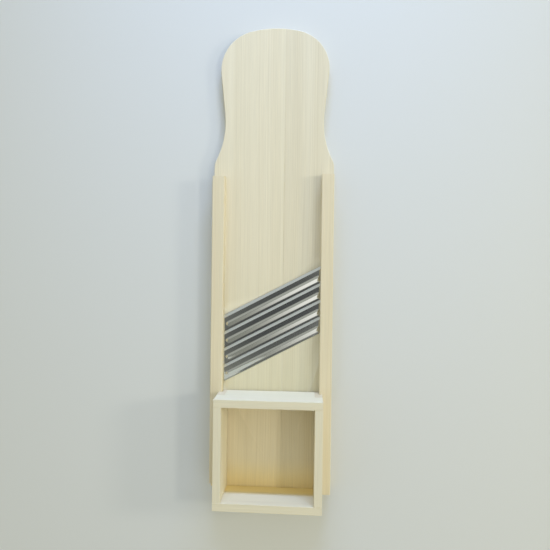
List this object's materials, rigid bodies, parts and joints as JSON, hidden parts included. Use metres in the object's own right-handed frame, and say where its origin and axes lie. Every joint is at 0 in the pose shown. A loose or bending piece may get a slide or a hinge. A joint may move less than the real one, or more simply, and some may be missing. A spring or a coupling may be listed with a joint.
{
  "type": "cabbage cutter",
  "caption": "Wooden cabbage cutter: a paddle-shaped board with side rails, a slanted bank of beaded steel blades over a window, and a bottomless box that slides along the rails.",
  "frame": {"origin": "middle of the cutter's bounding box on the surface that it lies on, at the back of the board", "axes": "+Z out of the cutting face, +Y along the rails towards the paddle head, +X to the right seen from above with the head away from the viewer"},
  "size_m": [0.18, 0.7005, 0.0725],
  "materials": {
    "board_wood": "planed, unvarnished pale softwood",
    "rail_wood": "planed, unvarnished pale softwood",
    "box_wood": "planed, unvarnished pale softwood",
    "blade_steel": "polished, pressed and ground",
    "nail_steel": "bright drawn wire"
  },
  "bodies": {
    "base": {"left_plank": "board_wood", "right_plank": "board_wood", "left_rail": "rail_wood", "right_rail": "rail_wood", "blade_1": "blade_steel", "blade_2": "blade_steel", "blade_3": "blade_steel", "blade_4": "blade_steel", "rail_nails": "nail_steel"},
    "box": {"box_upper_wall": "box_wood", "box_lower_wall": "box_wood", "box_left_wall": "box_wood", "box_right_wall": "box_wood"}
  },
  "joints": [
    {"name": "box_slide", "type": "slide", "parent": "base", "child": "box", "axis": [0, 1, 0], "range_m": [0, 0.32]}
  ]
}
